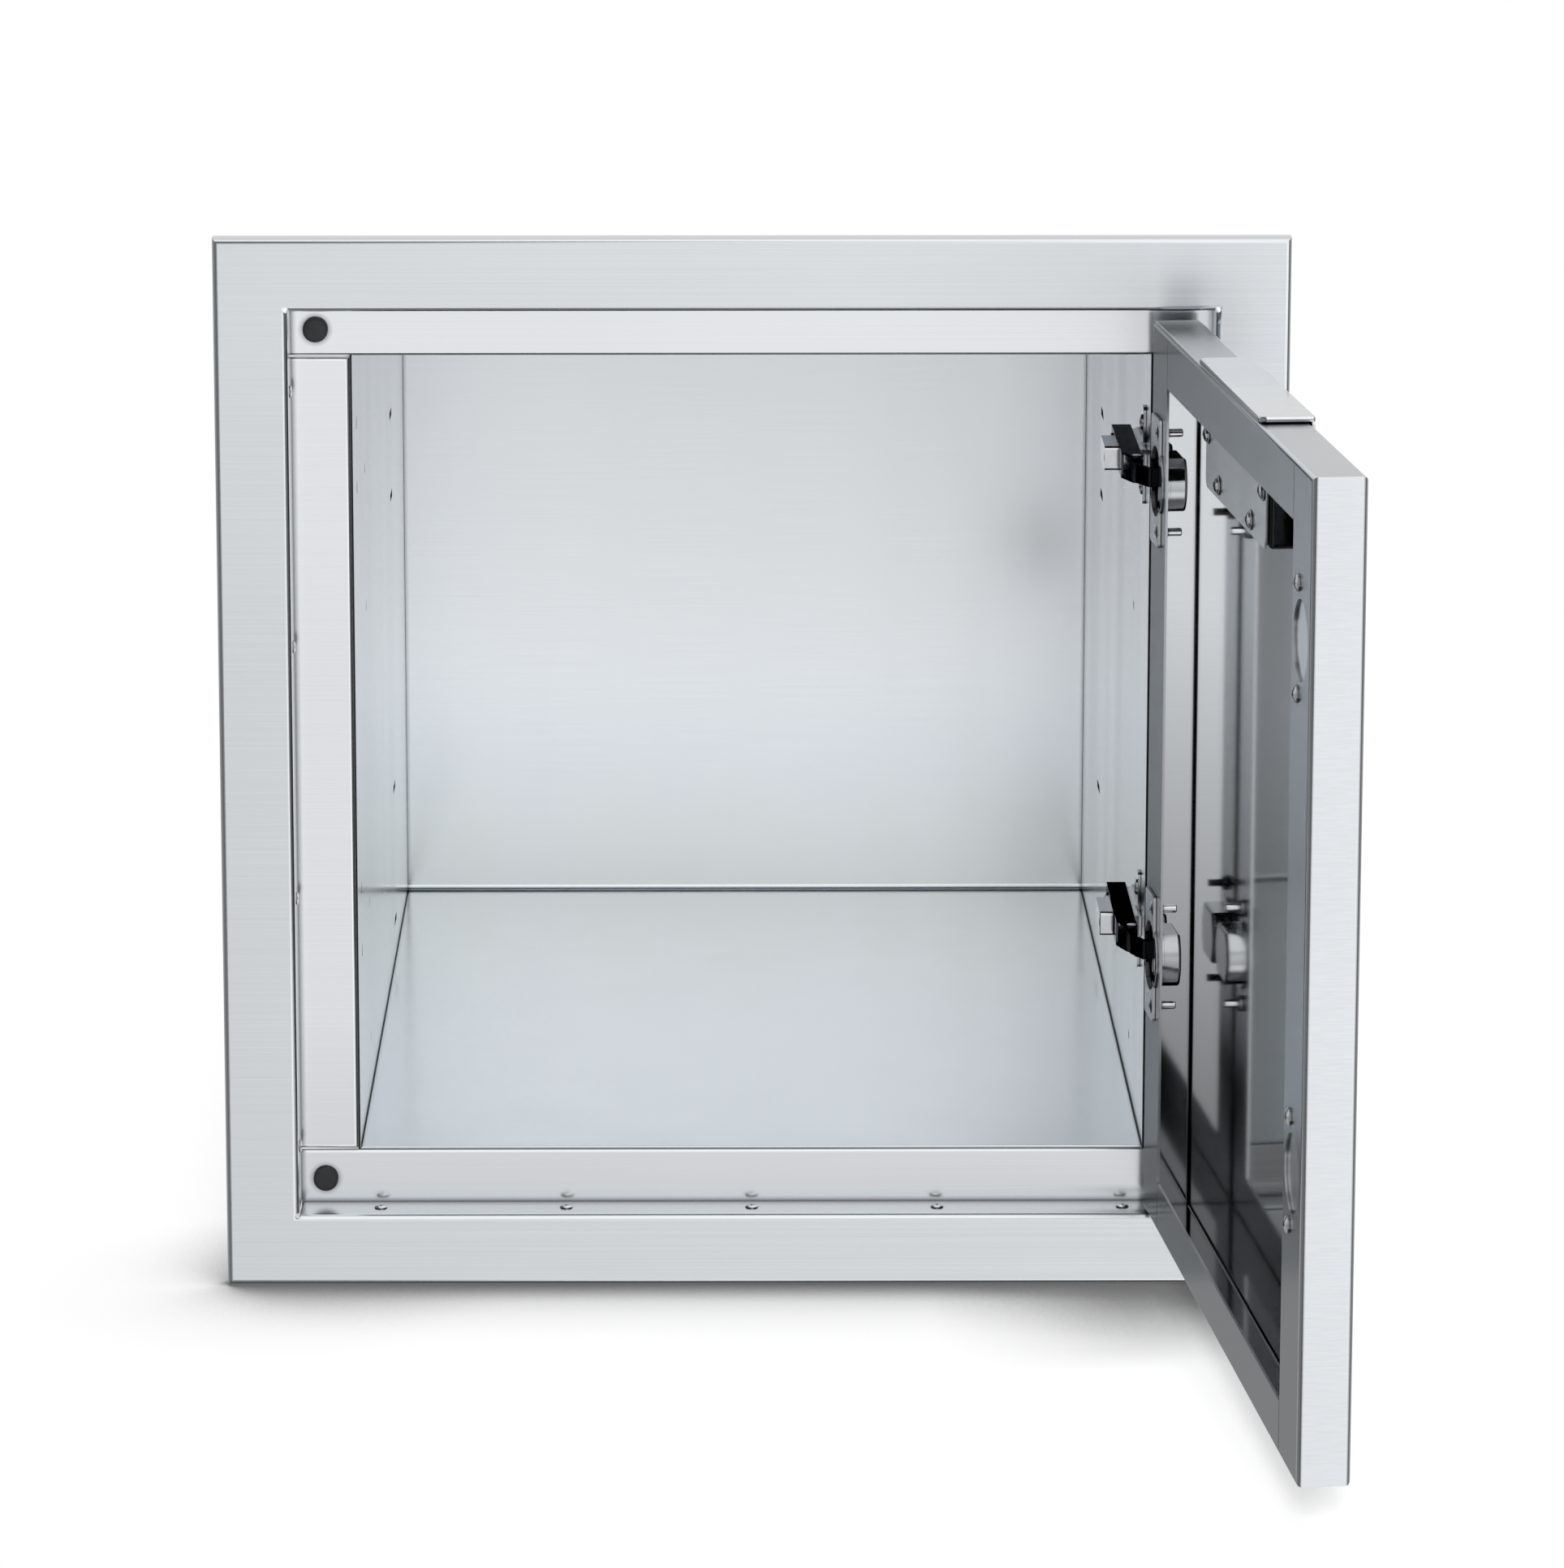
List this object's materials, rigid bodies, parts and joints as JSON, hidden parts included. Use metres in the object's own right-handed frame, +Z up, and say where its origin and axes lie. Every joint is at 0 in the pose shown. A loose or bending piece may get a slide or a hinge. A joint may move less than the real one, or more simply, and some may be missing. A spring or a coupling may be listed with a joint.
{
  "type": "built-in storage cabinet",
  "caption": "Built-in stainless storage cabinet for an outdoor kitchen: flanged face frame, deep sheet metal box and one side-hung door on two soft-close cup hinges.",
  "frame": {"origin": "middle of the flat underside of the face frame", "axes": "+X to the right seen from the front, +Y into the cabinet, +Z up"},
  "size_m": [0.515, 1.0147, 0.518],
  "materials": {
    "brushed": "brushed",
    "plain_sheet": "satin",
    "polished_casting": "polished",
    "bright_metal": "satin",
    "hinge_metal": "satin nickel",
    "dark_link": "satin",
    "black_rubber": "matte"
  },
  "bodies": {
    "cabinet": {"face_frame": "brushed", "top_stop": "brushed", "bottom_stop": "brushed", "left_post": "brushed", "right_post": "brushed", "left_side_panel": "plain_sheet", "right_side_panel": "plain_sheet", "back_panel": "plain_sheet", "floor_panel": "plain_sheet", "roof_panel": "plain_sheet", "door_bumpers": "black_rubber", "side_wall_screws": "bright_metal", "ledge_screws": "bright_metal", "upper_mounting_plate": "hinge_metal", "lower_mounting_plate": "hinge_metal", "mounting_plate_screws": "bright_metal", "mounting_plate_nuts": "bright_metal", "upper_hinge_arm": "hinge_metal", "lower_hinge_arm": "hinge_metal", "hinge_arm_screws": "bright_metal", "hinge_arm_pins": "bright_metal", "upper_damper": "hinge_metal", "lower_damper": "hinge_metal"},
    "door": {"door_pan": "brushed", "handle_body": "polished_casting", "handle_back_plate": "plain_sheet", "handle_screws": "bright_metal", "handle_washers": "bright_metal", "hole_covers": "plain_sheet", "hole_cover_screws": "bright_metal", "upper_hinge_cup": "hinge_metal", "lower_hinge_cup": "hinge_metal", "cup_screws": "bright_metal", "cup_nuts": "bright_metal", "cup_pins": "bright_metal"},
    "upper_link": {"upper_hinge_link": "dark_link"},
    "lower_link": {"lower_hinge_link": "dark_link"}
  },
  "joints": [
    {"name": "door_hinge", "type": "hinge", "parent": "cabinet", "child": "door", "pos_m": [0.2121, -0.0044, 0.2569], "axis": [0, 0, 1], "range_deg": [-95, 10]},
    {"name": "upper_link_pivot", "type": "hinge", "parent": "door", "child": "upper_link", "pos_m": [0.19604, -0.00791, 0.4029], "axis": [0, 0, 1], "range_deg": [-18, 157]},
    {"name": "lower_link_pivot", "type": "hinge", "parent": "door", "child": "lower_link", "pos_m": [0.19604, -0.00791, 0.1699], "axis": [0, 0, 1], "range_deg": [-18, 157]}
  ],
  "couplings": [
    {"joint": "upper_link_pivot", "follows": "door_hinge", "ratio": -1.6338},
    {"joint": "lower_link_pivot", "follows": "door_hinge", "ratio": -1.6338}
  ]
}
